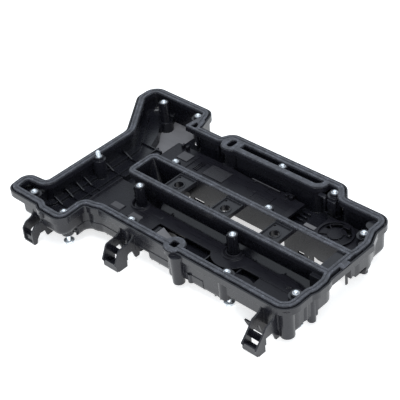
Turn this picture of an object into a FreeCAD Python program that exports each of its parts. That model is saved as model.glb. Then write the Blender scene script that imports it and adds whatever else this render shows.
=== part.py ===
import FreeCAD, Part
import math
import os

os.makedirs("parts", exist_ok=True)
V = FreeCAD.Vector

# Levels, measured down from the free top of the gasket
gasket_stand = 2.0
flange_lip_depth = 6.5
flange_skirt_depth = 9.0
main_floor_depth = 42.5
timing_floor_depth = 33.5
pocket_floor_depth = 47.0
lobe_floor_depth = 16.0
lobe_front_depth = 31.0
lobe_side_depth = 37.5
foot_depth = 53.5

# Moulding
wall = 2.5
roof = 2.5
draft = 0.028
wall_offset = 4.6
floor_round = 6.8
ledge_depth = 27.5
ledge_width = 0.6
flange_in = 4.6
flange_out = 7.6

# Press-in gasket
gasket_width = 7.4
bead_groove_width = 1.6
bead_groove_depth = 0.7
stem_width = 3.0
stem_depth = 4.5
perimeter_stem_shift = 1.8
rim_width = 2.1
gasket_play = 0.05

# Coil well
well_length = 320.5
well_front = -0.8
well_back = 40.5
well_corner = 6.0
well_clear_half = 3.9
well_wall = 2.8

# Cylinder spacing, along which the bridges and the inner bolts repeat
cylinder_pitch = 78.5
bridge_first_x = 68.2
bridge_hole_y = 17.0
bridge_count = 3
bridge_length = 28.0
bridge_drop = 3.0
bridge_thick = 6.0
bridge_lip = 1.6
bridge_hole_radius = 6.2
bridge_hub_wall = 1.8
bridge_hub_depth = 9.0
module_hole_radius = 1.6
end_plate_length = 17.0

# Captive M6 flange bolts in steel sleeves
thread_radius = 3.0
waist_radius = 2.4
thread_length = 15.5
bolt_length = 46.5
bolt_travel = 10.5
bolt_flange_radius = 6.9
bolt_flange_thick = 1.6
hex_across_flats = 10.0
hex_height = 4.2
tip_chamfer = 0.7
sleeve_radius = 4.2
sleeve_bore = 3.3
sleeve_lip_bore = 2.75
sleeve_lip_height = 1.5
seat_play = 0.02
high_bolt_lift = 6.0

# Bosses
post_radius = 6.2
post_foot_radius = 7.0
collar_radius = 9.9
collar_height = 4.0
head_room_radius = 8.0
edge_boss_radius = 9.0
boss_top_drop = 0.2

# Dowel pads
pad_one_x = 148.5
pad_one_y = -72.2
pad_one_radius = 13.0
pad_one_hole = 10.5
pad_two_x = 65.0
pad_two_y = 119.5
pad_two_radius = 14.0
pad_two_hole_width = 9.5
pad_two_hole_length = 16.0
dowel_hole_depth = 30.0

# Baffle plates of the oil separator
baffle_top_depth = 31.0
baffle_thick = 2.0
baffle_gap = 1.2
rib_thick = 1.8
pad_rise = 1.0
labyrinth_pitch = 46.0

# Pressure control valve in the back right corner
valve_x = 262.0
valve_y = 84.0
valve_ring_radius = 24.0
valve_dome_radius = 29.0
valve_seat_radius = 9.0
diaphragm_thick = 1.4
spring_radius = 6.0
spring_wire_radius = 0.5
spring_half_turns = 7
spring_play = 0.05
cap_floor = 1.8
membrane_level = 5.0

# Filler neck on the outer side
neck_x = 95.0
neck_y = -42.0
neck_radius = 21.0
neck_bore = 17.5

# Harness brackets
bracket_plate = 2.2

# Right end, below the well: the notch and the step of the lower edge
notch_x = 303.0
notch_front_y = -8.0
notch_back_y = 33.0
notch_wall = 2.5
step_x = 318.0
step_depth = 31.5

# Timing end floor
shelf_depth = 29.5
shelf_offset = -7.6
shelf_rib_height = 2.5

# Corner points of the seal line: x, y and corner radius
seal_points = [
    (-93.5, -115.8, 6.5), (-41, -115.8, 9), (-33, -121, 9), (1.2, -121, 10),
    (-0.8, -79.6, 11), (14, -78.6, 12), (25, -74.6, 12), (322, -74.6, 15),
    (322, -39, 10), (325, -31, 10), (325, -14, 10), (320.5, -2, 10),
    (320.5, 42, 10), (322, 48, 10), (322, 67, 14), (313.4, 87, 14),
    (313.4, 112.6, 10), (249, 112.6, 12), (234, 131.8, 12), (55, 131.8, 9),
    (47, 116.8, 9), (2, 116.8, 9), (-11, 153.2, 9), (-110.5, 153.2, 11),
    (-110.5, 128, 12), (-63, 62, 25), (-63, -88, 14), (-96.5, -91, 7),
]
slot_points = [(76, 114, 3), (206, 114, 9), (214.3, 121, 9), (214.3, 131.8, 3), (76, 131.8, 3)]
tri_pad = [(-14, 112.6, 2), (9, 112.6, 2), (2, 138, 3), (-12, 138, 2)]
tri_hole = [(-7, 116.5, 1), (2.6, 116.5, 1), (-0.6, 125, 1), (-5.8, 128, 1)]

# Bolt places
edge_bolts = {
    "a": (-66.5, -105.5), "b": (-5.0, -110.0), "h": (72.0, -69.2), "j": (228.5, -69.2),
    "o": (312.5, -48.0), "n": (308.0, 80.0), "m": (233.0, 120.0), "l": (147.5, 122.9),
    "e": (-17.5, 142.0), "c": (-57.0, -4.0),
}
post_bolts = {
    "d": (-78.8, 138.2), "f": (31.5, 48.5), "g": (31.5, -15.5),
    "i": (31.5 + 2 * cylinder_pitch, -15.5), "k": (31.5 + 2 * cylinder_pitch, 48.5),
}
lifted = ("c",)
open_sides = {
    "b": (0, -1), "h": (0, -1), "j": (0, -1), "o": (1, 0), "n": (1, 0), "m": (0, 1),
    "l": (0, 1), "e": (0, 1), "c": (-1, 0), "a": (0, -1),
}

face_z = -gasket_stand
boss_top_z = face_z - boss_top_drop
seat_z = -bolt_length + bolt_travel
main_floor_z = -main_floor_depth
baffle_z = -baffle_top_depth
foot_z = -foot_depth


# Basic shapes
def rounded(points, z=0.0):
    edges = []
    ends = []
    count = len(points)
    for i in range(count):
        before = V(points[i - 1][0], points[i - 1][1], z)
        here = V(points[i][0], points[i][1], z)
        after = V(points[(i + 1) % count][0], points[(i + 1) % count][1], z)
        radius = points[i][2]
        a = (before - here).normalize()
        b = (after - here).normalize()
        half = a.getAngle(b) / 2
        run = radius / math.tan(half)
        middle = (a + b).normalize()
        centre = here + middle * (radius / math.sin(half))
        start = here + a * run
        end = here + b * run
        ends.append((start, centre - middle * radius, end))
    for i in range(count):
        start, middle, end = ends[i]
        following = ends[(i + 1) % count][0]
        edges.append(Part.Arc(start, middle, end).toShape())
        if (following - end).Length > 1e-4:
            edges.append(Part.LineSegment(end, following).toShape())
    return Part.Wire(edges)


def grown(wire, offset):
    return wire.makeOffset2D(offset) if abs(offset) > 1e-9 else wire


def slab(wire, low, high, offset=0.0):
    face = Part.Face(grown(wire, offset))
    face.translate(V(0, 0, low))
    return face.extrude(V(0, 0, high - low))


def band(wire, inner, outer, low, high):
    return slab(wire, low, high, outer).cut(slab(wire, low - 1, high + 1, inner))


def block(x0, x1, y0, y1, z0, z1):
    return Part.makeBox(x1 - x0, y1 - y0, z1 - z0, V(x0, y0, z0))


def rod(x, y, radius, z0, z1):
    return Part.makeCylinder(radius, z1 - z0, V(x, y, z0))


def cone(x, y, low_radius, high_radius, z0, z1):
    return Part.makeCone(low_radius, high_radius, z1 - z0, V(x, y, z0))


def turned(points, x, y):
    outline = [V(r, 0, z) for r, z in points]
    face = Part.Face(Part.makePolygon(outline + outline[:1]))
    solid = face.revolve(V(0, 0, 0), V(0, 0, 1), 360)
    solid.translate(V(x, y, 0))
    return solid


def side_plate(points, x, thick):
    wire = rounded([(y, z, r) for y, z, r in points])
    face = Part.Face(wire)
    face.rotate(V(0, 0, 0), V(1, 0, 0), 90)
    face.rotate(V(0, 0, 0), V(0, 0, 1), 90)
    face.translate(V(x, 0, 0))
    return face.extrude(V(thick, 0, 0))


def tapered(wire, offset, low, high):
    top = grown(wire, offset + draft * high)
    foot = grown(wire, offset + draft * low)
    top.translate(V(0, 0, high))
    foot.translate(V(0, 0, low))
    return Part.makeLoft([foot, top], True, True)


def rounded_foot(solid, radius):
    low = solid.BoundBox.ZMin
    edges = [e for e in solid.Edges if abs(e.BoundBox.ZMin - low) < 1e-3 and e.BoundBox.ZLength < 1e-3]
    return solid.makeFillet(radius, edges)


def prism_x(points, x0, x1):
    face = Part.Face(Part.makePolygon([V(x0, y, z) for y, z in points + points[:1]]))
    return face.extrude(V(x1 - x0, 0, 0))


def prism_y(points, y0, y1):
    face = Part.Face(Part.makePolygon([V(x, y0, z) for x, z in points + points[:1]]))
    return face.extrude(V(0, y1 - y0, 0))


def joined(shapes):
    return shapes[0].multiFuse(shapes[1:]) if len(shapes) > 1 else shapes[0]


seal = rounded(seal_points)
well = rounded([
    (0, well_front, well_corner), (well_length, well_front, 1),
    (well_length, well_back, 1), (0, well_back, well_corner),
])
slot = rounded(slot_points)


def area(x0, x1, y0, y1):
    return [(x0, y0), (x1, y0), (x1, y1), (x0, y1)]


# Depth zones of the tub: outline in x and y, floor depth, rounding at the foot of the wall
zones = [
    (area(-70, -28, -100, 100), timing_floor_depth, floor_round),
    (area(-130, -28, 60, 170), timing_floor_depth, floor_round),
    (area(-30, 340, -84, 150), main_floor_depth, floor_round),
    ([(-52, 81), (0, 81), (0, 160), (-78, 160), (-78, 125), (-64, 108)], pocket_floor_depth, floor_round),
    (area(-130, -45, -140, -80), lobe_floor_depth, floor_round),
    (area(-70, 10, -140, -98), lobe_front_depth, floor_round),
    (area(-30, 10, -99, -80), lobe_side_depth, floor_round),
]


def zone_prism(outline, low, high, offset=0.0):
    wire = Part.makePolygon([V(x, y, 0) for x, y in outline + outline[:1]])
    return slab(wire, low, high, offset)


def shell_outer():
    shapes = []
    for outline, depth, radius in zones:
        low = -depth - roof
        body = rounded_foot(tapered(seal, wall_offset, low, face_z), radius + wall)
        shapes.append(body.common(zone_prism(outline, low, face_z, wall)))
    low = main_floor_z - roof
    lower = rounded_foot(tapered(seal, wall_offset + ledge_width, low, -ledge_depth), floor_round + wall)
    shapes.append(lower.common(block(-2, 197, -100, -60, low, -ledge_depth)))
    return joined(shapes)


def shell_inner():
    shapes = []
    for outline, depth, radius in zones:
        body = rounded_foot(tapered(seal, wall_offset - wall, -depth, 1.0), radius)
        shapes.append(body.common(zone_prism(outline, -depth, 1.0)))
    return joined(shapes)


def flange():
    low = face_z - flange_lip_depth
    skirt = face_z - flange_skirt_depth
    right = well_length
    parts = [
        band(seal, -flange_in, flange_out, low, face_z),
        band(seal, wall_offset - 1, flange_out, skirt, face_z),
        band(slot, -flange_in, flange_in, low, face_z),
        band(well, -well_clear_half, flange_in, low, face_z),
        rod(pad_one_x, pad_one_y, pad_one_radius + 1, low, face_z),
        rod(pad_two_x, pad_two_y, pad_two_radius + 1, low, face_z),
        slab(rounded(tri_pad), low, face_z),
        block(right, right + 10, -32, 70, skirt, face_z),
    ]
    return joined(parts)


def well_walls():
    outer = slab(well, main_floor_z - roof, face_z, -well_clear_half + well_wall)
    return outer


def well_void():
    length = well_length - well_clear_half
    void = slab(well, foot_z - 5, 5, -well_clear_half)
    keep = []
    y0 = well_front + 1.5
    y1 = well_back - 1.5
    top = -bridge_drop
    for i in range(bridge_count):
        x = bridge_first_x + i * cylinder_pitch
        keep.append(bridge(x, y0, y1, top))
    keep.append(block(length - end_plate_length + 4, length + 2, y0, y1, top - 4, top))
    keep.append(first_pocket(y0, y1, void))
    return void, keep


def bridge(x, y0, y1, top):
    half = bridge_length / 2
    lip = bridge_lip
    low = top - bridge_thick
    plate = block(x - half, x + half, y0, y1, low, top)
    sunk = block(x - half + lip, x + half - lip, y0 + 5.5, y1 - 5.5, top - lip, top + 1)
    hub = rod(x, bridge_hole_y, bridge_hole_radius + bridge_hub_wall, top - bridge_hub_depth, top - lip + 0.8)
    solid = plate.cut(sunk).fuse(hub)
    hole = rod(x, bridge_hole_y, bridge_hole_radius, top - 20, top + 1)
    screw = rod(x - 10.0, bridge_hole_y + 12.5, module_hole_radius, top - 20, top + 1)
    return solid.cut(hole).cut(screw)


def first_pocket(y0, y1, void):
    x1 = bridge_first_x - bridge_length / 2
    floor = block(-1, x1, y0, y1, main_floor_z - roof, main_floor_z)
    inner_y = well_back - well_clear_half
    column = cone(well_clear_half, inner_y, 13, 1, main_floor_z, -4)
    return joined([floor, column]).common(void)


# Valley in the underside on both sides of the well: points in y and z
def valley_fills():
    front = prism_x([(0.5, -29.3), (-12.7, -42.5), (0.5, -42.5)], 54, 305)
    back = prism_x([(39.2, -29.3), (52.4, -42.5), (39.2, -42.5)], 54, 322)
    return [front, back]


def valley_cuts():
    shapes = [prism_x([(3.2, -30.5), (-12.4, -46.1), (3.2, -46.1)], 56, 302.9)]
    for x0, x1 in ((56, 65), (109, 222), (266, 320)):
        shapes.append(prism_x([(36.5, -30.5), (52.1, -46.1), (36.5, -46.1)], x0, x1))
    for x0, x1 in ((65, 109), (222, 266)):
        behind = [(39.2, -33.2), (52.1, -46.1), (36.5, -46.1), (36.5, -42.6), (39.2, -42.6)]
        shapes.append(prism_x(behind, x0, x1))
    for x0, x1 in ((72, 90), (243, 253)):
        shapes.append(block(x0, x1, 36, 40, -37.5, -33.5))
    for x0 in (97, 257):
        shapes.append(block(x0, x0 + 2.5, 36, 40, -40, -34))
    return shapes


# Slanted parts of the lower front edge: x from, x to, y plus z of the outer face
front_slants = [(84.9, 107.8, -109.2), (236, 287, -106.2)]


def slant_fills():
    shapes = []
    for x0, x1, sum_out in front_slants:
        total = sum_out + 3.9
        y_wall = -76.6
        points = [(y_wall, total - y_wall), (total + main_floor_depth, main_floor_z), (y_wall, main_floor_z)]
        shapes.append(prism_x(points, x0 - wall, x1 + wall))
    return shapes


def slant_cuts():
    shapes = []
    low = -46.0
    for x0, x1, total in front_slants:
        y_out = -83.0
        shapes.append(prism_x([(y_out, total - y_out), (total - low, low), (y_out, low)], x0, x1))
    return shapes


def end_fills():
    low = main_floor_z - roof
    high = face_z - flange_lip_depth + 0.5
    return [
        block(notch_x - notch_wall, 325, notch_front_y - notch_wall, notch_back_y + notch_wall, low, high),
        block(step_x - notch_wall, 324, -33, 63.5, low, -step_depth + notch_wall),
    ]


def end_cuts():
    return [
        block(notch_x, 345, notch_front_y, notch_back_y, foot_z - 5, -11),
        block(step_x, 345, -30.5, 61, foot_z - 5, -step_depth),
    ]


def posts():
    shapes = []
    for name, (x, y) in post_bolts.items():
        shapes.append(cone(x, y, post_foot_radius, post_radius, seat_z, boss_top_z))
        shapes.append(rod(x, y, collar_radius, -46 if name != "d" else foot_z, seat_z + collar_height))
        for turn in range(3):
            rib = block(0, post_foot_radius + 0.9, -0.8, 0.8, seat_z, boss_top_z - 2)
            rib.rotate(V(0, 0, 0), V(0, 0, 1), 90 + 120 * turn)
            rib.translate(V(x, y, 0))
            shapes.append(rib)
    return shapes


def edge_bosses():
    shapes = []
    for name, (x, y) in edge_bolts.items():
        radius = 7.6 if name == "b" else edge_boss_radius
        shapes.append(rod(x, y, radius, seat_z, face_z - 4))
        shapes.append(rod(x, y, post_radius, face_z - 5, boss_top_z))
        low = main_floor_z - roof
        if name not in ("a", "b", "e"):
            shapes.append(rod(x, y, head_room_radius + wall, low, seat_z + wall))
    return shapes


def head_rooms():
    shapes = []
    low = foot_z - 1
    for name, (x, y) in edge_bolts.items():
        dx, dy = open_sides[name]
        shapes.append(rod(x, y, head_room_radius, low, seat_z))
        way = block(0, 22, -head_room_radius, head_room_radius, low, seat_z)
        way.rotate(V(0, 0, 0), V(0, 0, 1), math.degrees(math.atan2(dy, dx)))
        way.translate(V(x, y, 0))
        shapes.append(way)
    for x, y in post_bolts.values():
        shapes.append(rod(x, y, head_room_radius, low, seat_z))
    return shapes


def sleeve_holes():
    shapes = []
    for x, y in list(edge_bolts.values()) + list(post_bolts.values()):
        shapes.append(rod(x, y, sleeve_radius, seat_z - 1, 2))
    return shapes


def dowel_holes():
    low = face_z - dowel_hole_depth
    half = pad_one_hole / 2
    one = rounded([
        (pad_one_x - half, pad_one_y - half, 2), (pad_one_x + half, pad_one_y - half, 2),
        (pad_one_x + half, pad_one_y + half, 2), (pad_one_x - half, pad_one_y + half, 2),
    ])
    w = pad_two_hole_width / 2
    h = pad_two_hole_length / 2
    two = rounded([
        (pad_two_x - w, pad_two_y - h, w - 0.4), (pad_two_x + w, pad_two_y - h, w - 0.4),
        (pad_two_x + w, pad_two_y + h, w - 0.4), (pad_two_x - w, pad_two_y + h, w - 0.4),
    ])
    return [slab(one, low, 3), slab(two, low, 3), slab(rounded(tri_hole), low, 3)]


# Columns on the outside: x, y, radius at the lower and the upper end, lower and upper level
columns = [
    (158.5, -80.5, 7.5, 9.2, -47.0, -6.0), (316.5, -69.5, 8.8, 9.8, -47.0, -6.0),
    (322.6, -35.0, 5.2, 5.8, -47.0, -6.0), (317.6, 66.0, 5.6, 6.2, -46.5, -6.0),
    (305.0, 101.0, 7.4, 8.4, -34.0, -6.0), (176.0, -76.6, 4.0, 4.2, -40.0, -ledge_depth),
    (72.0, -74.2, 7.6, 8.0, -36.0, -6.0), (228.5, -74.2, 7.6, 8.0, -36.0, -6.0),
    (320.6, -47.2, 6.6, 7.0, -35.0, -6.0),
]


def outer_columns():
    shapes = [cone(x, y, foot, head, low, high) for x, y, foot, head, low, high in columns]
    shapes.append(rod(pad_one_x, pad_one_y, pad_one_hole / 2 + 5, main_floor_z, face_z - 1))
    shapes.append(rod(pad_two_x, pad_two_y, pad_two_hole_length / 2 + 3, main_floor_z, face_z - 1))
    shapes.append(rod(-26, -129, 2.6, -10, -2.6))
    return shapes


# Harness brackets: x of both side plates, top of the arch, y of the toe,
# then a plate's outline as y, z and corner radius
brackets = [
    (-57.0, -38.0, -41.3, -139.5, [
        (-112, -12, 0.8), (-119.6, -12, 0.8), (-120.8, -21, 3), (-124.5, -25.5, 4), (-134, -27.5, 6),
        (-140.2, -34, 4), (-140.6, -51, 2), (-135, foot_z, 0.9), (-133, -47.5, 1.5), (-128, -41.3, 3),
        (-120, -41.3, 3), (-117.6, -51, 1), (-98.8, -50, 1), (-98.8, -22, 1),
    ]),
    (60.0, 84.0, -36.4, -108.5, [
        (-72, -9.5, 0.8), (-79, -9.5, 0.8), (-81.5, -19, 3), (-88.5, -22.2, 4), (-105, -23.6, 5),
        (-109.5, -33, 4), (-114, -42, 1.5), (-108.5, -52.4, 1), (-95, foot_z, 0.9), (-93.9, -42, 2),
        (-91.2, -36.4, 3), (-84.4, -36.4, 2.5), (-80.2, -49.2, 1.5), (-74, -49.2, 1.5), (-70.9, -40, 1),
    ]),
    (288.0, 310.5, -35.4, -111.0, [
        (-72, -9.5, 0.8), (-80.2, -9.5, 0.8), (-84, -17.6, 3), (-96.3, -20.6, 4), (-104, -30.5, 5),
        (-116, -43, 1.5), (-111.5, -51, 1), (-100.2, foot_z, 0.9), (-100, -42, 2), (-98.4, -35.4, 2),
        (-87, -35.4, 3), (-82.5, -49.2, 1.5), (-76, -49.2, 1.5), (-72, -40, 1),
    ]),
]


def bracket(x0, x1, arch_z, toe, outline):
    front = min(y for y, z, r in outline)
    heel = [y for y, z, r in outline if z == foot_z][0]
    left = side_plate(outline, x0, bracket_plate)
    right = side_plate(outline, x1 - bracket_plate, bracket_plate)
    foot = block(x0, x1, toe, heel, foot_z, foot_z + bracket_plate)
    lip = block(x0, x1, front + 2.4, front + 2.4 + bracket_plate, foot_z + 4, foot_z + 11)
    apron = block(x0, x1, front + 2.4, front + 6.5, foot_z + 1.5, foot_z + 5)
    back = block(x0, x1, heel, heel + bracket_plate, foot_z + 9, arch_z + 2)
    return joined([left, right, foot, lip, apron, back])


# Web that ties the right bracket's left leg to the flange
def bracket_web():
    outline = [
        (290, -11, 1), (250.5, -11, 1), (250.5, -27.5, 1), (257.2, -28.4, 3), (258, -39, 3),
        (262.5, -41, 3), (263.2, -48.5, 3), (269, -53.2, 3), (290, -53.2, 1),
    ]
    face = Part.Face(rounded(outline))
    face.rotate(V(0, 0, 0), V(1, 0, 0), 90)
    face.translate(V(0, -79.8, 0))
    return face.extrude(V(0, -bracket_plate, 0))


def timing_ribs():
    low = -timing_floor_depth - 1
    top = -timing_floor_depth + shelf_rib_height
    inner = tapered(seal, wall_offset - wall + 0.5, low, -20)
    zone = block(-70, -29.3, -100, 62, low, -20).fuse(block(-130, -29.3, 62, 128, low, -20))
    shelf = slab(seal, low, -shelf_depth, 1).cut(slab(seal, low - 1, 0, shelf_offset))
    shapes = [shelf, block(-39.9, -38.1, -100, 84, low, top)]
    for y in (-79, -60, -42, -28, 11, 44, 80):
        shapes.append(block(-75, -28, y - rib_thick / 2, y + rib_thick / 2, low, top))
        wedge = [(-63, -shelf_depth - 2), (-48, -shelf_depth - 2), (-63, -shelf_depth + 6)]
        if y < 62:
            shapes.append(prism_y(wedge, y - rib_thick / 2, y + rib_thick / 2))
    return [s.common(inner).common(zone) for s in shapes]


def labyrinth():
    shapes = []
    top = baffle_z - baffle_thick
    x = -18.0
    side = 0
    while x < 310:
        low_y = -76 if side else -66
        high_y = -8 if side else -2
        shapes.append(block(x, x + rib_thick, low_y, high_y, main_floor_z - 1, top))
        if x < 190:
            shapes.append(block(x, x + rib_thick, 42, 110 if side else 100, main_floor_z - 1, top))
        x += labyrinth_pitch
        side = 1 - side
    return shapes


def valve_chamber():
    wall_ring = rod(valve_x, valve_y, valve_ring_radius, main_floor_z - 1, baffle_z - baffle_thick)
    wall_ring = wall_ring.cut(rod(valve_x, valve_y, valve_ring_radius - wall, -60, 0))
    return wall_ring


def valve_dome():
    dome = rod(valve_x, valve_y, valve_dome_radius, foot_z, main_floor_z - 1)
    return dome


def chute():
    slope = [(74.0, -42.4), (74.0, -33.6), (84.0, -33.6), (86.5, -32.0), (101.0, -42.4)]
    return [prism_y(slope, -48, -32), block(74, 77, -48, -32, -43.5, -40)]


def housing():
    body = shell_outer()
    body = body.multiFuse([flange()])
    body = body.cut(shell_inner())
    void, keep = well_void()
    adds = [flange(), well_walls(), band(slot, -1.4, 1.4, main_floor_z - 1, face_z)]
    adds += posts() + edge_bosses() + outer_columns() + timing_ribs() + labyrinth()
    adds += valley_fills() + slant_fills() + end_fills()
    adds += [bracket(*b) for b in brackets] + [bracket_web()]
    adds.append(rod(neck_x, neck_y, neck_radius, foot_z, main_floor_z - 1))
    adds += [valve_dome(), valve_chamber()]
    body = body.multiFuse(adds)
    body = body.cut(void)
    body = body.multiFuse(keep)
    cuts = groove_solids() + head_rooms() + sleeve_holes() + dowel_holes()
    cuts += valley_cuts() + slant_cuts() + end_cuts()
    cuts.append(rod(neck_x, neck_y, neck_bore, foot_z - 1, main_floor_z + 1))
    cuts.append(rod(valve_x, valve_y, valve_dome_radius - wall, foot_z - 1, main_floor_z - roof))
    cuts.append(rod(valve_x, valve_y, valve_seat_radius - 2, foot_z - 1, main_floor_z + 1))
    body = body.cut(joined(cuts))
    body = body.multiFuse(chute())
    return body.removeSplitter()


def groove_solids():
    low = face_z - stem_depth
    half = stem_width / 2
    shift = perimeter_stem_shift
    right = well_length
    return [
        band(seal, shift - half, flange_out - rim_width, low, 1),
        band(well, -half, half, low, 1),
        band(slot, -half, half, low, 1),
        block(right + 5, right + 7.5, -8, 12, low, 1),
        block(right + 5, right + 7.5, 30, 60, low, 1),
    ]


def gasket():
    half = gasket_width / 2
    stem = stem_width / 2 - gasket_play
    shift = perimeter_stem_shift
    bottom = face_z - stem_depth + gasket_play
    head_parts = []
    stem_parts = []
    for wire in (seal, well, slot):
        head_parts.append(band(wire, -half, half, face_z, 0))
    head_parts.append(rod(pad_one_x, pad_one_y, pad_one_radius, face_z, 0))
    head_parts.append(rod(pad_two_x, pad_two_y, pad_two_radius, face_z, 0))
    head_parts.append(slab(rounded(tri_pad), face_z, 0, -1))
    head_parts.append(block(well_length, well_length + 9, 13.5, 27, face_z, 0))
    stem_parts.append(band(seal, shift - stem, shift + stem, bottom, face_z))
    stem_parts.append(band(well, -stem, stem, bottom, face_z))
    stem_parts.append(band(slot, -stem, stem, bottom, face_z))
    solid = joined(head_parts + stem_parts)
    cuts = dowel_holes()
    for x, y in list(edge_bolts.values()) + list(post_bolts.values()):
        cuts.append(rod(x, y, sleeve_radius + 0.2, face_z - 10, 2))
    for wire in (seal, well):
        cuts.append(band(wire, -bead_groove_width / 2, bead_groove_width / 2, -bead_groove_depth, 1))
    return solid.cut(joined(cuts)).removeSplitter()


def front_baffle():
    top = baffle_z
    low = top - baffle_thick
    edge = [
        (-28.5, -68, 2), (112, -68, 2), (112, -31, 3), (160, -31, 2), (164, -50, 6),
        (180, -68, 6), (206, -68, 2), (206, -36, 3), (242, -32, 2), (242, -44, 2),
        (216, -58, 4), (224, -68, 2), (298, -68, 6), (313, -56, 6), (313, -36, 3),
        (298, -34, 3), (297, -12, 3), (288, -8, 3), (258, -8, 3), (254, -12, 3), (46, -12, 3),
        (0.5, -2.4, 3), (-2.5, 6, 2), (-28.5, 6, 2),
    ]
    plate = slab(rounded(edge), low, top)
    rises = [
        block(0, 18, -42, -33, top - 0.5, top + pad_rise),
        block(36, 54, -47, -35, top - 0.5, top + pad_rise),
        block(54, 75, -26, -15, top - 0.5, top + pad_rise),
        rod(-16, -11, 5, top - 0.5, top + pad_rise),
        rod(106, -24, 6, top - 0.5, top + 3),
        block(118, 122, -28, -14, top - 0.5, top + pad_rise),
        block(246, 297, -33, -31.5, top - 0.5, top + pad_rise),
        block(-28.5, -26.5, -68, 6, top - 0.5, top + 2.5),
    ]
    plate = plate.multiFuse(rises)
    cuts = [block(79, 108, -62, -31, low - 1, top + 5)]
    cuts += baffle_clearances(low, top)
    return plate.cut(joined(cuts)).removeSplitter()


def baffle_clearances(low, top):
    cuts = []
    for x, y in post_bolts.values():
        cuts.append(rod(x, y, collar_radius + baffle_gap, low - 1, top + 5))
    for x, y in edge_bolts.values():
        cuts.append(rod(x, y, head_room_radius + wall + baffle_gap, low - 1, top + 5))
    for x, y, _foot, head, _low, _high in columns:
        cuts.append(rod(x, y, head + baffle_gap, low - 1, top + 5))
    cuts.append(rod(pad_one_x, pad_one_y, pad_one_hole / 2 + 5 + baffle_gap, low - 1, top + 5))
    cuts.append(rod(pad_two_x, pad_two_y, pad_two_hole_length / 2 + 3 + baffle_gap, low - 1, top + 5))
    return cuts


def back_baffle():
    top = baffle_z
    low = top - baffle_thick
    edge = [
        (-25, 46, 2), (197, 46, 2), (197, 106, 3), (158, 111, 3), (144, 107, 3),
        (110, 107, 3), (76, 109, 3), (-25, 109, 2),
    ]
    plate = slab(rounded(edge), low, top)
    rises = [
        block(-4, 14.4, 83, 98.5, top - 0.5, top + pad_rise),
        block(48.5, 82.5, 76.5, 98.5, top - 0.5, top + pad_rise),
        block(188, 197, 46, 106, top - 0.5, top + 2),
        block(157, 159, 48, 95, top - 0.5, top + pad_rise),
        block(96, 112, 62, 72, top - 0.5, top + pad_rise),
        block(108, 157, 105.4, 107, top - 0.5, top + 2.5),
        block(20, 22, 60, 100, top - 0.5, top + pad_rise),
    ]
    plate = plate.multiFuse(rises)
    return plate.cut(joined(baffle_clearances(low, top))).removeSplitter()


def valve_plate():
    top = baffle_z
    low = top - baffle_thick
    edge = [(236, 47, 2), (300, 47, 4), (300, 84, 8), (284, 108, 12), (236, 108, 3)]
    plate = slab(rounded(edge), low, top)
    ring = rod(valve_x, valve_y, valve_ring_radius, top - 0.5, top + 2.5)
    ring = ring.cut(rod(valve_x, valve_y, valve_ring_radius - 3, top - 1, top + 4))
    passage = rod(valve_x, valve_y, valve_ring_radius - 4, low - 1, top + 5)
    passage = passage.cut(rod(valve_x, valve_y, valve_ring_radius - 10, low - 2, top + 6))
    passage = passage.common(block(200, 300, valve_y + 4, 200, low - 1, top + 5))
    plate = plate.multiFuse([ring, rod(valve_x + 15, valve_y - 13, 3, top - 0.5, top + 2.5)])
    cuts = [passage] + baffle_clearances(low, top)
    return plate.cut(joined(cuts)).removeSplitter()


def valve_parts():
    cavity_top = main_floor_z - roof
    inner = valve_dome_radius - wall
    cap = turned([
        (0, foot_z), (inner - 0.05, foot_z), (inner - 0.05, foot_z + membrane_level),
        (inner - 4, foot_z + membrane_level), (inner - 4, foot_z + cap_floor), (0, foot_z + cap_floor),
    ], valve_x, valve_y)
    rim_low = foot_z + membrane_level
    diaphragm = turned([
        (0, rim_low), (valve_seat_radius, rim_low), (valve_seat_radius + 4, rim_low + 1.4),
        (inner - 7, rim_low), (inner - 0.1, rim_low), (inner - 0.1, rim_low + diaphragm_thick),
        (inner - 7, rim_low + diaphragm_thick), (valve_seat_radius + 4, rim_low + 2.8),
        (valve_seat_radius, rim_low + diaphragm_thick), (0, rim_low + diaphragm_thick),
    ], valve_x, valve_y)
    clamp = turned([
        (inner - 4, rim_low + diaphragm_thick), (inner - 0.1, rim_low + diaphragm_thick),
        (inner - 0.1, cavity_top), (inner - 4, cavity_top),
    ], valve_x, valve_y)
    return cap, diaphragm, clamp


# Coil spring between the cap and the diaphragm, each half turn a tilted half ring
def valve_spring(low, high):
    start = low + spring_play + spring_wire_radius
    rise = (high - spring_play - spring_wire_radius - start) / spring_half_turns
    reach = math.hypot(spring_radius, rise / 2)
    tilt = math.degrees(math.atan2(rise / 2, spring_radius))
    halves = []
    for i in range(spring_half_turns):
        half = Part.makeTorus(reach, spring_wire_radius, V(0, 0, 0), V(0, 0, 1), 0, 360, 180)
        half.rotate(V(0, 0, 0), V(0, 1, 0), tilt)
        half.rotate(V(0, 0, 0), V(0, 0, 1), 180 * (i % 2))
        half.translate(V(valve_x, valve_y, start + rise * (i + 0.5)))
        halves.append(half)
    return joined(halves)


def sleeve(x, y):
    lip_top = -thread_length
    return turned([
        (sleeve_bore, seat_z), (sleeve_radius, seat_z), (sleeve_radius, boss_top_z),
        (sleeve_bore, boss_top_z), (sleeve_bore, lip_top),
        (sleeve_lip_bore, lip_top), (sleeve_lip_bore, lip_top - sleeve_lip_height),
        (sleeve_bore, lip_top - sleeve_lip_height - 0.6),
    ], x, y)


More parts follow.
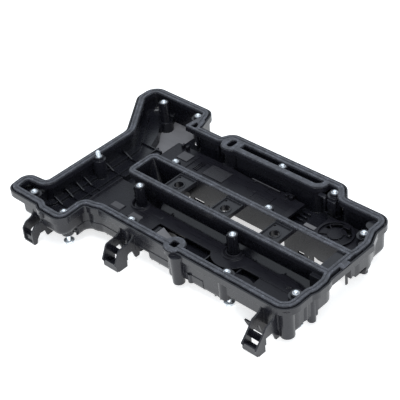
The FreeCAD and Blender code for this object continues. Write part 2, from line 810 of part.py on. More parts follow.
def bolt(x, y, lift):
    thread_end = -thread_length + seat_play
    shank = turned([
        (0, -bolt_length), (waist_radius, -bolt_length), (waist_radius, thread_end),
        (thread_radius, thread_end), (thread_radius, -tip_chamfer),
        (thread_radius - tip_chamfer, 0), (0, 0),
    ], 0, 0)
    head_low = -bolt_length - bolt_flange_thick
    collar = cone(0, 0, bolt_flange_radius, bolt_flange_radius - 0.6, head_low, -bolt_length)
    across = hex_across_flats / math.sqrt(3)
    corners = [V(across * math.cos(math.radians(60 * i)), across * math.sin(math.radians(60 * i)),
                 head_low - hex_height) for i in range(6)]
    hexagon = Part.Face(Part.makePolygon(corners + corners[:1])).extrude(V(0, 0, hex_height + 0.5))
    rounding = cone(0, 0, across - 0.9, across + 2.4, head_low - hex_height, head_low + 0.5)
    solid = shank.multiFuse([collar, hexagon.common(rounding)])
    solid.translate(V(x, y, lift))
    return solid.removeSplitter()


def build():
    nodes = {}
    nodes["cover_housing"] = housing()
    nodes["cover_gasket"] = gasket()
    nodes["front_baffle"] = front_baffle()
    nodes["back_baffle"] = back_baffle()
    nodes["valve_plate"] = valve_plate()
    cap, diaphragm, clamp = valve_parts()
    nodes["valve_cap"] = cap
    nodes["valve_diaphragm"] = diaphragm
    nodes["valve_clamp_ring"] = clamp
    nodes["valve_spring"] = valve_spring(foot_z + cap_floor, foot_z + membrane_level)
    places = dict(edge_bolts)
    places.update(post_bolts)
    nodes["bolt_sleeves"] = Part.makeCompound([sleeve(x, y) for x, y in places.values()])
    for name, (x, y) in sorted(places.items()):
        lift = high_bolt_lift if name in lifted else 0.0
        nodes["bolt_" + name] = bolt(x, y, lift)
    return nodes


def main():
    nodes = build()
    whole = Part.makeCompound(list(nodes.values()))
    box = whole.BoundBox
    shift = V(-(box.XMin + box.XMax) / 2, -(box.YMin + box.YMax) / 2, -box.ZMin)
    for name, shape in nodes.items():
        shape.translate(shift)
        shape.exportStep("parts/" + name + ".step")
        print(name, "solids", len(shape.Solids), "valid", shape.isValid(), "volume", round(shape.Volume))
    print("shift", shift, "box", box)


main()
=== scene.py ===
import math

import bmesh
import bpy
from mathutils import Matrix, Vector


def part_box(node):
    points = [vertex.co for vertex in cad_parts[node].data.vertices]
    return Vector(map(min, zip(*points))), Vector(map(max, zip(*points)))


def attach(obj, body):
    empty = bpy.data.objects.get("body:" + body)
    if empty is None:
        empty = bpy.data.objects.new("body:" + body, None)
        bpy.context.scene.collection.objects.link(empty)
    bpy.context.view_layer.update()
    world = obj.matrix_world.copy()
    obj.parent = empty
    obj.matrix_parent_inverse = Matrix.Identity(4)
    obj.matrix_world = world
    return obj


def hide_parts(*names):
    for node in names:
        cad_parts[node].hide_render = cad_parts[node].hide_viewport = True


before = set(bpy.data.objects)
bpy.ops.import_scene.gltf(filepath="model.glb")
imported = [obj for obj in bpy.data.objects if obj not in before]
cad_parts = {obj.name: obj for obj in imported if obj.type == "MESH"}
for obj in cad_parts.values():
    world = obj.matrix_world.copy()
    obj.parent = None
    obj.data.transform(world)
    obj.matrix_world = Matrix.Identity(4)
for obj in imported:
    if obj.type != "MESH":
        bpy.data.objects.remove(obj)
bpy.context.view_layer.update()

bl_info = {
    "name": "Valve cover",
    "version": (1, 0, 0),
    "blender": (4, 5, 0),
    "location": "View3D > Sidebar > Valve cover",
    "description": "Dresses a moulded engine valve cover: plastics, plates, gasket, captive bolts and studio",
    "category": "Object",
}

# Where the drawing's zero lies in the frame: the well's front left gasket corner, top of the gasket
ZERO = Vector((-0.10725, -0.0101154, 0.0535))

# The photograph's camera, worked out from the flange lines, in the drawing's millimetres
CAMERA_PLACE = (982.1, -797.8, 902.1)
CAMERA_RIGHT = (0.72267964, 0.68621573, -0.0827171)
CAMERA_DOWN = (0.3713483, -0.48641505, -0.79088611)
CAMERA_AHEAD = (-0.58295333, 0.54084043, -0.6063473)
CAMERA_LENS = 110.06

BOLTS = sorted(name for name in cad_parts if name.startswith("bolt_") and name != "bolt_sleeves")

# The flange bolt, in metres, with its tip at zero. SEAT_PLAY keeps the flange clear of the sleeve at the
# top of the stroke. HEX_UNCUT lies beyond the hexagon's corners. RIDGE_FOOT is just inside the thread's core.
BOLT_LENGTH = 0.0465
THREAD_LENGTH = 0.0155
THREAD_PITCH = 0.001
THREAD_ROOT = 0.00246
THREAD_CREST = 0.00300
WAIST = 0.0024
FLANGE_THICK = 0.0016
FLANGE_RADIUS = 0.0069
HEX_HEIGHT = 0.0042
HEX_HALF = 0.0050
HEX_UNCUT = 0.006
SEAT_PLAY = 0.00006
RIDGE_FOOT = THREAD_ROOT - 0.00003
RIDGE_RUN = (-THREAD_LENGTH + 0.0001, -0.0007)
RIDGE_SHARES = (0.0, 0.36, 0.50, 0.86)
ROUND_STEPS = 48

# Gasket runs with retaining nibs: start and end, in the drawing's millimetres. The nibs' size is in metres.
NIB_RUNS = (
    ((12, 3.1), (300, 3.1)), ((12, 36.5), (312, 36.5)), ((12, -4.6), (312, -4.6)), ((12, 44.3), (312, 44.3)),
    ((30, -70.8), (134, -70.8)), ((164, -70.8), (300, -70.8)),
)
NIB_SIZE = (0.0018, 0.0016, 0.0015)
NIB_LEVEL = Vector((0, 0, -0.0011))
NIB_EDGE = 0.0003

# Textured flats, rougher than the polished plastic round them, with a painted sheen: their upward faces get a
# paler colour for the light they catch. In the drawing's millimetres: x from, x to, y from, y to, z from, z to
SHELL_SHEEN_FLATS = ((-79, -33, 82, 156, -50, -34), (86.5, 101, -48, -32, -43, -31), (210, 231, 86, 92, -43, -40))
FRONT_SHEEN_FLATS = ((0, 18, -42, -33, -31, -28), (36, 54, -47, -35, -31, -28))
BACK_SHEEN_FLATS = ((-4, 14.4, 83, 98.5, -31, -28), (110, 156, 105, 108, -30, -27))
# Painted sheen on the upward faces of the flats; a quarter of it also colours the lines of the grid pad
SHEEN_AND_GRID_COLOUR = (0.22, 0.215, 0.225)

# A face looks up where the upward part of its direction is above this
LOOKS_UP = 0.4

# The pad with a fine square grid on the back plate: x from, x to, y from, y to; the grid's pitch, the share of
# the pitch between its lines, and the lines' height in metres
GRID_PAD = (48.5, 82.5, 76.5, 98.5)
GRID_PITCH = 1.7
GRID_GAP = 0.7
GRID_HEIGHT = 0.00015

# All sizes of the plates' and the cover's forms are in the drawing's millimetres.
# Outline of the front plate: x, y and corner radius
FRONT_PLATE_EDGE = (
    (-28.5, -68.5, 2), (78, -68.5, 2), (78, -30, 1), (242, -30, 2), (243.5, -68.5, 2), (298, -68.5, 6),
    (313, -56, 6), (313, -36, 3), (303.5, -33, 2), (300.5, -14, 3), (289.5, -14.5, 4), (279.5, -10, 4),
    (258.5, -8, 3), (253.5, -13, 3), (46, -10, 3), (0.5, -2.4, 3), (-2.5, 6, 2), (-28.5, 6, 2),
)
PLATE_THICK = 2.0
PLATE_ROUGH = 0.3

# Discs round bolts: radius and height above the plate. They end at the plate's front and at the well's wall.
FRONT_DISCS = (("bolt_i", 28.5, 0.0), ("bolt_j", 31.0, -0.8))
DISC_PROUD = 0.1
PLATE_FRONT = -68.4
WELL_SIDE = -11.2

# Raised rings round posts: inner and outer radius and height above the plate
FRONT_RINGS = (("bolt_i", 8.0, 10.2, 3.2), ("bolt_i", 12.4, 14.8, 2.0), ("bolt_g", 12.0, 14.4, 2.4))
RING_ROOT = 1.0
RING_EDGE = 0.5

# Room left for posts and bosses: radius of the hole. The wall of the well is kept free beside two posts.
PLATE_CUTS = (("bolt_g", 11.1), ("bolt_h", 12.4), ("bolt_i", 7.6), ("bolt_j", 12.4), ("bolt_o", 12.4))
CUT_DEPTH = 20.0
WALL_POSTS = ("bolt_g", "bolt_i")
WALL_BLOCK = 40.0

# Raised marks: depth of their root, rounding of their edges, then x from, x to, y from, y to and height above
# the plate of each
MARK_ROOT = 0.5
MARK_EDGE = 0.2
FRONT_BLOCKS = (
    (1, 19.5, -45.5, -32, 1.0), (33, 53.5, -45.5, -34, 1.0), (54, 73.5, -23, -12.5, 0.4),
    (242, 291.5, -31.2, -29.8, 1.0), (271.5, 283, -22.2, -21, 1.0), (278, 279.2, -26.4, -22, 1.0),
    (284, 288.5, -27.6, -23.3, 1.0), (-28.5, -26.5, -68.5, 6, 2.5),
)
BACK_BLOCKS = (
    (58.5, 72.8, 106, 118, 0.8), (114, 131, 88.4, 89.6, 0.6), (130, 131.2, 78, 89.6, 0.6),
    (114.5, 117.5, 103.5, 107, 2.2), (137.5, 140.5, 103.5, 107, 2.2), (31, 32.4, 77, 95, 1.3),
    (34, 35.4, 77, 95, 1.3), (37, 38.4, 77, 95, 1.3), (-13, -10, 102, 107, 5.5), (-5, -2, 102, 107, 5.5),
    (162, 172, 99, 105.5, 1.0), (166, 170, 102.5, 108, 5.0), (173.5, 178, 102.5, 108, 5.0),
    (166, 178, 106.5, 109, 5.0),
)
VALVE_BLOCKS = ((261.5, 270.5, 99, 104, 3.0), (275.5, 278.5, 89.5, 92.5, 1.2))

# Floor fins, channel, ledge and wall ribs of the cover: x from, x to, y from, y to, z from, z to
HOUSING_MARKS = (
    (196, 208, 88, 89.4, -43, -38), (196, 208, 95, 96.4, -43, -38), (196, 208, 102, 103.4, -43, -38),
    (223, 225.5, 109.4, 114, -31, -9), (229, 241, 109.4, 114, -31, -9), (223, 241, 109.4, 114, -31, -29.5),
    (214, 224, 110, 116, -11, -8), (3.5, 5.1, 114, 119, -32, -8), (42, 43.6, 114, 119, -32, -8),
)

# Hub and radial ribs on the valve's plate
VALVE_CENTRE = Vector((262.0, 84.0))
VALVE_HUB = 10.0
VALVE_HUB_EDGE = 0.4
VALVE_RIBS = 6
VALVE_RIB_START = 9.0
VALVE_RIB_END = 20.0
VALVE_RIB_THICK = 1.4
VALVE_RISE = 1.6

# The paper, in metres: half its side and how far it lies under the feet
PAPER_HALF = 3.0
PAPER_SINK = 0.0002

# Glow of the paper for the camera and reflections
PAPER_GLOW = 0.62

# Strength of the surround for all rays but those of the camera and reflections
SURROUND_LIGHT = 0.7


class Socket:
    """One output of a node tree, with arithmetic that adds the nodes it needs."""

    def __init__(self, kit, link):
        self.kit = kit
        self.link = link

    def maths(self, operation, *values):
        return self.kit.node("ShaderNodeMath", {"operation": operation}, *values)

    def __add__(self, other):
        return self.maths("ADD", self, other)

    def __mul__(self, other):
        return self.maths("MULTIPLY", self, other)

    def __truediv__(self, other):
        return self.maths("DIVIDE", self, other)

    def __gt__(self, other):
        return self.maths("GREATER_THAN", self, other)

    def __lt__(self, other):
        return self.maths("LESS_THAN", self, other)


class Finish:
    """A material under construction."""

    def __init__(self, name):
        self.material = bpy.data.materials.new(name)
        self.material.use_nodes = True
        self.tree = self.material.node_tree
        self.shader = self.tree.nodes["Principled BSDF"]

    def node(self, kind, settings=None, *values, output=0, **named):
        made = self.tree.nodes.new(kind)
        for key, value in (settings or {}).items():
            setattr(made, key, value)
        for i, value in enumerate(values):
            self.give(made.inputs[i], value)
        for key, value in named.items():
            self.give(made.inputs[key.replace("_", " ")], value)
        return Socket(self, made.outputs[output])

    def give(self, target, value):
        if isinstance(value, Socket):
            self.tree.links.new(value.link, target)
        elif value is not None:
            target.default_value = value

    def set(self, **named):
        for key, value in named.items():
            self.give(self.shader.inputs[key.replace("_", " ")], value)

    def place(self, stretch=(1, 1, 1)):
        where = self.node("ShaderNodeTexCoord", output=3)
        return self.node("ShaderNodeVectorMath", {"operation": "MULTIPLY"}, where, stretch)

    def parts(self, vector):
        """The x, y and z of a vector."""
        split = self.tree.nodes.new("ShaderNodeSeparateXYZ")
        self.tree.links.new(vector.link, split.inputs[0])
        return [Socket(self, out) for out in split.outputs]

    def noise(self, size, detail=3.0, rough=0.55, stretch=(1, 1, 1)):
        """Soft noise whose blotches are about size metres across."""
        return self.node("ShaderNodeTexNoise", None, Vector=self.place(stretch), Scale=1 / size,
                         Detail=detail, Roughness=rough)

    def spread(self, value, low, high, out_low, out_high):
        """Maps low..high of a value to out_low..out_high and holds it there."""
        return self.node("ShaderNodeMapRange", None, value, low, high, out_low, out_high)

    def blend(self, factor, first, second):
        """Mixes two colours."""
        mixed = self.tree.nodes.new("ShaderNodeMix")
        mixed.data_type = "RGBA"
        self.give(mixed.inputs[0], factor)
        for slot, value in ((6, first), (7, second)):
            self.give(mixed.inputs[slot], value if isinstance(value, Socket) else (*value, 1))
        return Socket(self, mixed.outputs[2])

    def bump(self, height, depth, normal=None):
        """A bump whose height runs from 0 to 1 over depth metres."""
        return self.node("ShaderNodeBump", None, Strength=1.0, Distance=depth, Height=height, Normal=normal)

    def soft_edge(self, radius):
        return self.node("ShaderNodeBevel", {"samples": 4}, radius)

    def texture_and_sheen_mask(self, boxes):
        """One on faces that look up inside any of the boxes, else zero: where the flats' painted sheen goes."""
        where = self.parts(self.place())
        total = 0.0
        for box in boxes:
            inside = 1.0
            for i, value in enumerate(where):
                low = ZERO[i] + box[2 * i] / 1000
                high = ZERO[i] + box[2 * i + 1] / 1000
                inside = (value > low) * (value < high) * inside
            total = inside.maths("MAXIMUM", inside, total)
        up = self.parts(self.node("ShaderNodeNewGeometry", output=1))[2]
        return total * (up > LOOKS_UP)


def lighter(colour, share):
    return tuple(min(1.0, part * share) for part in colour)


# Moulded nylon: spark-eroded grain, faint flow streaks, polished edges, and textured flats with a painted sheen
def nylon_finish(name, colour, rough, streak=(1, 1, 1), boxes=()):
    finish = Finish(name)
    grain = finish.noise(0.00035, 2.0, 0.6)
    flow = finish.noise(0.03, 4.0, 0.6, streak)
    cloud = finish.noise(0.012, 3.0)
    tone = finish.spread(flow, 0.3, 0.7, 0.0, 1.0)
    base = finish.blend(tone, lighter(colour, 0.82), lighter(colour, 1.25))
    gloss = finish.spread(cloud, 0.3, 0.7, rough - 0.03, rough + 0.05)
    if boxes:
        # The flats are rougher, and their upward faces get the painted sheen, streaked by the flow
        texture_and_sheen = finish.texture_and_sheen_mask(boxes)
        sheen_streaks = finish.spread(flow, 0.3, 0.7, 0.8, 1.1)
        base = finish.blend(texture_and_sheen * sheen_streaks, base, SHEEN_AND_GRID_COLOUR)
        gloss = gloss + texture_and_sheen * 0.2
    finish.set(
        Base_Color=base,
        Roughness=gloss,
        Normal=finish.bump(grain, 0.000006, finish.soft_edge(0.0008)),
        Specular_IOR_Level=0.46,
    )
    return finish


# Dark rubber with soft blotches and pale chalky flecks
def rubber_finish(name, colour, rough):
    finish = Finish(name)
    grain = finish.noise(0.0005, 3.0, 0.65)
    bloom = finish.noise(0.009, 4.0, 0.6)
    flecks = finish.noise(0.0016, 4.0, 0.7)
    tone = finish.spread(bloom, 0.35, 0.65, 0.0, 1.0)
    base = finish.blend(tone, lighter(colour, 0.7), lighter(colour, 1.4))
    chalk = finish.spread(flecks, 0.54, 0.66, 0.0, 0.6) * (tone + 0.25)
    finish.set(
        Base_Color=finish.blend(chalk, base, lighter(colour, 6.0)),
        Roughness=finish.spread(grain, 0.3, 0.7, rough - 0.06, rough + 0.1),
        Normal=finish.bump(grain, 0.00003, finish.soft_edge(0.0004)),
    )
    return finish


# Separator plate: streaks of glass fibre along the plate, textured flats with a painted sheen and the square
# grid of a pad
def plate_finish(name, colour, rough, boxes, grid=None):
    finish = Finish(name)
    grain = finish.noise(0.0004, 2.0, 0.6)
    fibre = finish.noise(0.006, 4.0, 0.7, (0.25, 2.0, 1.0))
    tone = finish.spread(fibre, 0.3, 0.7, 0.0, 1.0)
    base = finish.blend(tone, lighter(colour, 0.85), lighter(colour, 1.2))
    texture_and_sheen = finish.texture_and_sheen_mask(boxes)
    # Painted sheen on the upward faces of the textured flats
    base = finish.blend(texture_and_sheen * finish.spread(fibre, 0.3, 0.7, 0.25, 0.4), base, SHEEN_AND_GRID_COLOUR)
    normal = finish.bump(grain, 0.000008, finish.soft_edge(0.0008))
    if grid:
        x0, x1, y0, y1 = [value / 1000 for value in grid]
        pitch = GRID_PITCH / 1000
        across, along, _ = finish.parts(finish.place())
        inside = (across > ZERO.x + x0) * (across < ZERO.x + x1) * (along > ZERO.y + y0) * (along < ZERO.y + y1)
        lines, bars = [(value / pitch).maths("FRACT", value / pitch) > GRID_GAP for value in (across, along)]
        net = lines.maths("MAXIMUM", lines, bars) * inside
        normal = finish.bump(net, GRID_HEIGHT, normal)
        base = finish.blend(net * 0.25, base, SHEEN_AND_GRID_COLOUR)
    finish.set(
        Base_Color=base,
        Roughness=finish.spread(fibre, 0.3, 0.7, rough - 0.06, rough + 0.06) + texture_and_sheen * 0.2,
        Normal=normal,
        Specular_IOR_Level=0.24,
    )
    return finish


# Zinc plate over steel: crystal mottling, fine scratches, a blue passivated tint
def zinc_finish(name, colour, rough):
    finish = Finish(name)
    mottle = finish.noise(0.0012, 3.0, 0.6)
    scratch = finish.noise(0.0006, 2.0, 0.5, (1.0, 1.0, 0.15))
    tone = finish.spread(mottle, 0.35, 0.65, 0.0, 1.0)
    finish.set(
        Base_Color=finish.blend(tone, lighter(colour, 0.9), lighter(colour, 1.08)),
        Metallic=1.0,
        Roughness=finish.spread(mottle, 0.3, 0.7, rough - 0.06, rough + 0.1),
        Normal=finish.bump(scratch, 0.00001, finish.soft_edge(0.0002)),
    )
    return finish


class CoverSettings(bpy.types.PropertyGroup):
    shell_colour: bpy.props.FloatVectorProperty(
        name="Shell colour", description="Colour of the moulded cover", subtype="COLOR",
        size=3, min=0, max=1, default=(0.0090, 0.0092, 0.0130))
    shell_rough: bpy.props.FloatProperty(
        name="Shell roughness", description="Roughness of the moulded cover", subtype="FACTOR",
        min=0, max=1, default=0.25)
    seal_colour: bpy.props.FloatVectorProperty(
        name="Gasket colour", description="Colour of the rubber gasket", subtype="COLOR",
        size=3, min=0, max=1, default=(0.042, 0.044, 0.053))
    plate_colour: bpy.props.FloatVectorProperty(
        name="Plate colour", description="Colour of the separator plates", subtype="COLOR",
        size=3, min=0, max=1, default=(0.0100, 0.0097, 0.0135))
    nib_pitch: bpy.props.FloatProperty(
        name="Nib pitch", description="Distance between retaining nibs of the gasket", subtype="DISTANCE",
        unit="LENGTH", min=0.005, max=0.1, default=0.023)


def assign(node, finish):
    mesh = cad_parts[node].data
    mesh.materials.clear()
    mesh.materials.append(finish.material)


def mesh_from(work, name):
    """Turns the work of bmesh into a mesh that objects can use."""
    mesh = bpy.data.meshes.new(name)
    work.to_mesh(mesh)
    work.free()
    return mesh


def link_piece(name, mesh, body, finish):
    piece = bpy.data.objects.new(name, mesh)
    bpy.context.scene.collection.objects.link(piece)
    if not mesh.materials:
        mesh.materials.append(finish.material)
    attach(piece, body)
    return piece


def polar(radius, angle, z):
    return (radius * math.cos(angle), radius * math.sin(angle), z)


def hex_radius(angle):
    step = math.pi / 3
    return HEX_HALF / math.cos((angle + step / 2) % step - step / 2)


def ring(mesh, radius, z, hexagon=False):
    """One closed row of vertices, round or along the hexagon with its corners cut back to the radius."""
    row = []
    for i in range(ROUND_STEPS):
        angle = 2 * math.pi * i / ROUND_STEPS
        reach = min(hex_radius(angle), radius) if hexagon else radius
        row.append(mesh.verts.new(polar(reach, angle, z)))
    return row


def skin(mesh, rows):
    for lower, upper in zip(rows, rows[1:]):
        for i in range(len(lower)):
            j = (i + 1) % len(lower)
            mesh.faces.new((lower[i], lower[j], upper[j], upper[i]))


def thread_ridge(mesh, low, high):
    """A helical ridge from low to high that fades in and out over half a turn."""
    per_turn = ROUND_STEPS // 2
    count = int((high - low - THREAD_PITCH) / THREAD_PITCH * per_turn)
    before = None
    for i in range(count + 1):
        angle = 2 * math.pi * i / per_turn
        base = low + THREAD_PITCH * i / per_turn
        fade = min(1.0, 2 * i / per_turn, 2 * (count - i) / per_turn)
        crest = RIDGE_FOOT + (THREAD_CREST - THREAD_ROOT) * fade
        row = [mesh.verts.new(polar(radius, angle, base + share * THREAD_PITCH))
               for radius, share in zip((RIDGE_FOOT, crest, crest, RIDGE_FOOT), RIDGE_SHARES)]
        if before:
            for k in range(3):
                mesh.faces.new((before[k], row[k], row[k + 1], before[k + 1]))
        before = row


def bolt_mesh():
    """The flange bolt, tip at zero and head below."""
    work = bmesh.new()
    seat = -BOLT_LENGTH - SEAT_PLAY
    top = seat - FLANGE_THICK
    end = top - HEX_HEIGHT
    dish = ((0.0004, end + 0.0006), (0.0030, end + 0.0006), (0.0036, end))
    hexagon = ((0.0047, end), (0.0053, end + 0.0005), (HEX_UNCUT, end + 0.0009), (HEX_UNCUT, top - 0.0002))
    flange = (
        (0.0062, top + 0.0001), (FLANGE_RADIUS - 0.0002, top + 0.0005), (FLANGE_RADIUS, top + 0.0008),
        (FLANGE_RADIUS, seat - 0.0003), (FLANGE_RADIUS - 0.0003, seat), (WAIST + 0.0004, seat),
    )
    shank = (
        (WAIST, seat + 0.0005), (WAIST, -THREAD_LENGTH - 0.0002), (THREAD_ROOT, -THREAD_LENGTH),
        (THREAD_ROOT, -0.0010), (0.0021, -0.0001), (0.0018, 0.0), (0.0004, 0.0),
    )
    rows = [ring(work, *step) for step in dish]
    rows += [ring(work, *step, hexagon=True) for step in hexagon]
    rows += [ring(work, *step) for step in flange + shank]
    skin(work, rows)
    work.faces.new(list(reversed(rows[0])))
    work.faces.new(rows[-1])
    thread_ridge(work, *RIDGE_RUN)
    mesh = mesh_from(work, "flange_bolt")
    mesh.shade_smooth()
    return mesh


def rounded(points, steps=6):
    """The corners of an outline rounded by their radii."""
    outline = []
    for i, (x, y, radius) in enumerate(points):
        here = Vector((x, y))
        back = (Vector(points[i - 1][:2]) - here).normalized()
        ahead = (Vector(points[(i + 1) % len(points)][:2]) - here).normalized()
        opening = back.angle(ahead)
        reach = radius / math.tan(opening / 2)
        centre = here + (back + ahead).normalized() * radius / math.sin(opening / 2)
        first = here + back * reach - centre
        sweep = first.angle_signed(here + ahead * reach - centre)
        for k in range(steps + 1):
            turn = Matrix.Rotation(-sweep * k / steps, 2)
            outline.append(centre + turn @ first)
    return outline


def circle(x, y, radius, steps=56):
    turns = [2 * math.pi * i / steps for i in range(steps)]
    return [Vector((x + radius * math.cos(a), y + radius * math.sin(a))) for a in turns]


def rectangle(x0, x1, y0, y1):
    return [(x0, y0), (x1, y0), (x1, y1), (x0, y1)]


def flat_plate(work, outlines, low, high, edge=0.25):
    """Adds a plate with softened edges to a mesh. The outlines after the first are its holes."""
    curve = bpy.data.curves.new("outline", "CURVE")
    curve.dimensions = "2D"
    curve.fill_mode = "BOTH"
    curve.extrude = (high - low) / 2000 - edge / 1000
    curve.bevel_depth = edge / 1000
    curve.bevel_resolution = 1
    curve.offset = -edge / 1000
    for points in outlines:
        spline = curve.splines.new("POLY")
        spline.points.add(len(points) - 1)
        for point, (x, y) in zip(spline.points, points):
            point.co = (x / 1000, y / 1000, 0, 1)
        spline.use_cyclic_u = True
    holder = bpy.data.objects.new("outline", curve)
    mesh = bpy.data.meshes.new_from_object(holder)
    mesh.transform(Matrix.Translation(ZERO + Vector((0, 0, (low + high) / 2000))))
    work.from_mesh(mesh)
    bpy.data.objects.remove(holder)
    bpy.data.curves.remove(curve)
    bpy.data.meshes.remove(mesh)


def drawn_place(name):
    """Where a bolt stands, in the drawing's millimetres."""
    low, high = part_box(name)
    return [((low[i] + high[i]) / 2 - ZERO[i]) * 1000 for i in (0, 1)]


def plate_top(node):
    """Level of a plate's upper side, under its pads, in the drawing's millimetres."""
    return (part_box(node)[0][2] - ZERO.z) * 1000 + PLATE_THICK


def add_blocks(work, blocks, top):
    for *sides, rise in blocks:
        flat_plate(work, [rectangle(*sides)], top - MARK_ROOT, top + rise, MARK_EDGE)


def valve_marks(work):
    """The hub, the radial ribs and the tab on the valve's plate."""
    top = plate_top("valve_plate")
    flat_plate(work, [circle(*VALVE_CENTRE, VALVE_HUB)], top - MARK_ROOT, top + VALVE_RISE, VALVE_HUB_EDGE)
    rib = rectangle(VALVE_RIB_START, VALVE_RIB_END, -VALVE_RIB_THICK / 2, VALVE_RIB_THICK / 2)
    for i in range(VALVE_RIBS):
        turn = Matrix.Rotation(2 * math.pi * (i + 0.5) / VALVE_RIBS, 2)
        outline = [VALVE_CENTRE + turn @ Vector(corner) for corner in rib]
        flat_plate(work, [outline], top - MARK_ROOT, top + VALVE_RISE)
    add_blocks(work, VALVE_BLOCKS, top)


def plate_cutter(spots, top):
    """What the front plate has to leave free: posts, bosses and the well's wall."""
    work = bmesh.new()
    for name, radius in PLATE_CUTS:
        middle = ZERO + Vector((*spots[name], top)) / 1000
        bmesh.ops.create_cone(work, cap_ends=True, segments=64, radius1=radius / 1000, radius2=radius / 1000,
                              depth=CUT_DEPTH / 1000, matrix=Matrix.Translation(middle))
    for name in WALL_POSTS:
        wall = bmesh.ops.create_cube(work, size=WALL_BLOCK / 1000)["verts"]
        middle = Vector((spots[name][0], WELL_SIDE + WALL_BLOCK / 2, top))
        bmesh.ops.translate(work, verts=wall, vec=ZERO + middle / 1000)
    return mesh_from(work, "plate_cutter")


def cut_away(mesh, tool):
    """The mesh without what lies inside the tool."""
    holder = bpy.data.objects.new("plate_holder", mesh)
    blade = bpy.data.objects.new("plate_blade", tool)
    for thing in (holder, blade):
        bpy.context.scene.collection.objects.link(thing)
    cut = holder.modifiers.new("cut", "BOOLEAN")
    cut.operation = "DIFFERENCE"
    cut.solver = "EXACT"
    cut.use_self = True
    cut.object = blade
    graph = bpy.context.evaluated_depsgraph_get()
    rest = bpy.data.meshes.new_from_object(holder.evaluated_get(graph))
    for thing in (holder, blade):
        bpy.data.objects.remove(thing)
    rest.materials.clear()
    return rest


def front_plate_mesh():
    """The front plate with its marks and with discs and rings round the posts."""
    work = bmesh.new()
    top = plate_top("front_baffle")
    spots = {name: drawn_place(name) for name in BOLTS}
    flat_plate(work, [rounded(FRONT_PLATE_EDGE)], top - PLATE_THICK, top)
    for name, radius, rise in FRONT_DISCS:
        disc = [p for p in circle(*spots[name], radius) if PLATE_FRONT < p.y < WELL_SIDE]
        flat_plate(work, [disc], top - PLATE_THICK + rise - DISC_PROUD, top + rise + DISC_PROUD)
    for name, inner, outer, rise in FRONT_RINGS:
        outlines = [circle(*spots[name], outer), circle(*spots[name], inner)]
        flat_plate(work, outlines, top - RING_ROOT, top + rise, RING_EDGE)
    add_blocks(work, FRONT_BLOCKS, top)
    return cut_away(mesh_from(work, "front_plate"), plate_cutter(spots, top))


class MakePlates(bpy.types.Operator):
    """Makes the front plate and the marks on the others, and gives the plates their plastic"""

    bl_idname = "valve_cover.make_plates"
    bl_label = "Make the separator plates"

    def execute(self, context):
        colour = context.scene.valve_cover.plate_colour
        back = plate_finish("back plate nylon", colour, PLATE_ROUGH, BACK_SHEEN_FLATS, GRID_PAD)
        front = plate_finish("front plate nylon", colour, PLATE_ROUGH, FRONT_SHEEN_FLATS)
        assign("back_baffle", back)
        assign("front_baffle", front)
        assign("valve_plate", front)
        plate = link_piece("front_plate", front_plate_mesh(), "cover", front)
        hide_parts("front_baffle")
        work = bmesh.new()
        add_blocks(work, BACK_BLOCKS, plate_top("back_baffle"))
        valve_marks(work)
        link_piece("back_plate_marks", mesh_from(work, "back_plate_marks"), "cover", front)
        return {"FINISHED"}


class DressShell(bpy.types.Operator):
    """Gives the moulded cover and its valve parts their plastics and rubber, and the cover its small forms"""

    bl_idname = "valve_cover.dress_shell"
    bl_label = "Dress the moulded pieces"

    def execute(self, context):
        settings = context.scene.valve_cover
        colour, rough = settings.shell_colour, settings.shell_rough
        shell = nylon_finish("cover nylon", colour, rough, (0.4, 1.0, 1.0), SHELL_SHEEN_FLATS)
        cap = nylon_finish("cap nylon", colour, rough + 0.05)
        assign("cover_housing", shell)
        assign("valve_cap", cap)
        assign("valve_clamp_ring", cap)
        assign("valve_diaphragm", rubber_finish("membrane rubber", (0.02, 0.02, 0.02), 0.5))
        work = bmesh.new()
        for *sides, low, high in HOUSING_MARKS:
            flat_plate(work, [rectangle(*sides)], low, high)
        link_piece("housing_marks", mesh_from(work, "housing_marks"), "cover", shell)
        return {"FINISHED"}


class DressGasket(bpy.types.Operator):
    """Gives the gasket its rubber and sets the retaining nibs along its runs"""

    bl_idname = "valve_cover.dress_gasket"
    bl_label = "Dress the gasket"

    def execute(self, context):
        settings = context.scene.valve_cover
        rubber = rubber_finish("gasket rubber", settings.seal_colour, 0.42)
        assign("cover_gasket", rubber)
        work = bmesh.new()
        for start, end in NIB_RUNS:
            first = ZERO + Vector((*start, 0)) / 1000
            last = ZERO + Vector((*end, 0)) / 1000
            count = int((last - first).length / settings.nib_pitch)
            for i in range(count + 1):
                nib = bmesh.ops.create_cube(work, size=1.0)["verts"]
                bmesh.ops.scale(work, verts=nib, vec=NIB_SIZE)
                bmesh.ops.translate(work, verts=nib, vec=first.lerp(last, i / count) + NIB_LEVEL)
        bmesh.ops.bevel(work, geom=work.edges[:], offset=NIB_EDGE, segments=2, affect="EDGES")
        link_piece("gasket_nibs", mesh_from(work, "gasket_nibs"), "cover", rubber)
        return {"FINISHED"}


class MakeBolts(bpy.types.Operator):
    """Makes the threaded flange bolts and gives bolts, sleeves and spring their metals"""

    bl_idname = "valve_cover.make_bolts"
    bl_label = "Make the bolts"

    def execute(self, context):
        zinc = zinc_finish("blue zinc", (0.84, 0.89, 0.94), 0.44)
        sleeve = zinc_finish("sleeve steel", (0.56, 0.57, 0.59), 0.32)
        spring = zinc_finish("spring steel", (0.45, 0.45, 0.46), 0.35)
        assign("bolt_sleeves", sleeve)
        assign("valve_spring", spring)
        mesh = bolt_mesh()
        for name in BOLTS:
            low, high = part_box(name)
            piece = link_piece(name + "_threaded", mesh, name, zinc)
            piece.location = ((low[0] + high[0]) / 2, (low[1] + high[1]) / 2, high[2])
            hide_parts(name)
        return {"FINISHED"}


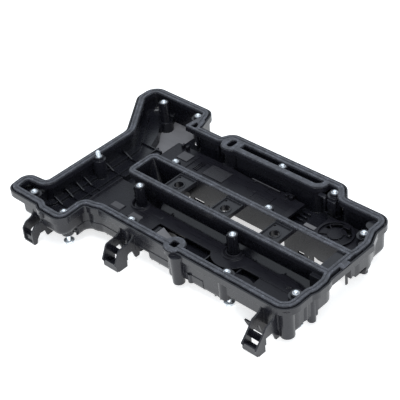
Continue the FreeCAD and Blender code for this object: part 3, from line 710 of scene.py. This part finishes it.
def area_lamp(name, place, target, size, power, colour):
    lamp = bpy.data.lights.new(name, "AREA")
    lamp.shape = "RECTANGLE"
    lamp.size, lamp.size_y = size
    lamp.energy = power
    lamp.color = colour
    holder = bpy.data.objects.new(name, lamp)
    holder.location = place
    holder.rotation_euler = (Vector(target) - Vector(place)).to_track_quat("-Z", "Y").to_euler()
    holder.visible_camera = False
    bpy.context.scene.collection.objects.link(holder)


def set_camera(scene):
    camera = bpy.data.cameras.new("camera")
    camera.lens = CAMERA_LENS
    camera.sensor_width = 36
    camera.clip_end = 20
    holder = bpy.data.objects.new("camera", camera)
    turn = Matrix((CAMERA_RIGHT, [-v for v in CAMERA_DOWN], [-v for v in CAMERA_AHEAD]))
    place = ZERO + Vector(CAMERA_PLACE) / 1000
    holder.matrix_world = Matrix.Translation(place) @ turn.transposed().to_4x4()
    scene.collection.objects.link(holder)
    scene.camera = holder


def lay_paper(scene):
    mesh = bpy.data.meshes.new("paper")
    corners = rectangle(-PAPER_HALF, PAPER_HALF, -PAPER_HALF, PAPER_HALF)
    mesh.from_pydata([(*corner, 0) for corner in corners], [], [(0, 1, 2, 3)])
    floor = bpy.data.objects.new("paper", mesh)
    scene.collection.objects.link(floor)
    floor.location.z = -PAPER_SINK
    paper = Finish("white paper")
    fibre = paper.noise(0.002, 3.0)
    path = paper.tree.nodes.new("ShaderNodeLightPath")
    rays = [Socket(paper, path.outputs[name]) for name in ("Is Camera Ray", "Is Glossy Ray")]
    paper.set(Base_Color=paper.blend(fibre, (0.88, 0.88, 0.87), (0.9, 0.9, 0.9)), Roughness=0.9,
              Emission_Color=(1, 1, 1, 1), Emission_Strength=rays[0].maths("MAXIMUM", *rays) * PAPER_GLOW)
    mesh.materials.append(paper.material)


def set_surround(scene):
    """White for the camera, pale blue for reflections and a dimmer pale blue for all other light."""
    world = bpy.data.worlds.new("surround")
    world.use_nodes = True
    scene.world = world
    tree = world.node_tree
    ground = tree.nodes["Background"]
    path = tree.nodes.new("ShaderNodeLightPath")
    colour = tree.nodes.new("ShaderNodeMix")
    colour.data_type = "RGBA"
    colour.inputs[6].default_value = (0.86, 0.93, 1.0, 1)
    colour.inputs[7].default_value = (1, 1, 1, 1)
    tree.links.new(path.outputs["Is Camera Ray"], colour.inputs[0])
    tree.links.new(colour.outputs[2], ground.inputs["Color"])
    direct = tree.nodes.new("ShaderNodeMath")
    direct.operation = "MAXIMUM"
    tree.links.new(path.outputs["Is Camera Ray"], direct.inputs[0])
    tree.links.new(path.outputs["Is Glossy Ray"], direct.inputs[1])
    strength = tree.nodes.new("ShaderNodeMix")
    strength.inputs["A"].default_value = SURROUND_LIGHT
    strength.inputs["B"].default_value = 1.0
    tree.links.new(direct.outputs[0], strength.inputs["Factor"])
    tree.links.new(strength.outputs["Result"], ground.inputs["Strength"])


class SetStage(bpy.types.Operator):
    """Puts up the camera, the lamps, the paper and the white surround"""

    bl_idname = "valve_cover.set_stage"
    bl_label = "Set the stage"

    def execute(self, context):
        context.scene.view_settings.view_transform = "Standard"
        set_camera(context.scene)
        lay_paper(context.scene)
        set_surround(context.scene)
        area_lamp("low front softbox", (1.0, -1.0, 0.32), (0, 0, 0.02), (1.5, 0.4), 11.0, (1.0, 0.99, 0.97))
        area_lamp("top softbox", (0.15, -0.1, 1.3), (0, 0, 0), (0.7, 0.35), 8.0, (0.94, 0.97, 1.0))
        return {"FINISHED"}


class CoverPanel(bpy.types.Panel):
    """Lists the steps that dress the cover"""

    bl_idname = "VIEW3D_PT_valve_cover"
    bl_label = "Valve cover"
    bl_space_type = "VIEW_3D"
    bl_region_type = "UI"
    bl_category = "Valve cover"

    def draw(self, context):
        settings = context.scene.valve_cover
        for name in CoverSettings.__annotations__:
            self.layout.prop(settings, name)
        for step in STEPS:
            self.layout.operator(step.bl_idname)


STEPS = (MakePlates, DressShell, DressGasket, MakeBolts, SetStage)


def register():
    for kind in (CoverSettings, *STEPS, CoverPanel):
        bpy.utils.register_class(kind)
    bpy.types.Scene.valve_cover = bpy.props.PointerProperty(type=CoverSettings)


def unregister():
    del bpy.types.Scene.valve_cover
    for kind in (CoverPanel, *reversed(STEPS), CoverSettings):
        bpy.utils.unregister_class(kind)


def main():
    register()
    for step in STEPS:
        group, name = step.bl_idname.split(".")
        getattr(getattr(bpy.ops, group), name)()


if __name__ == "__main__":
    main()
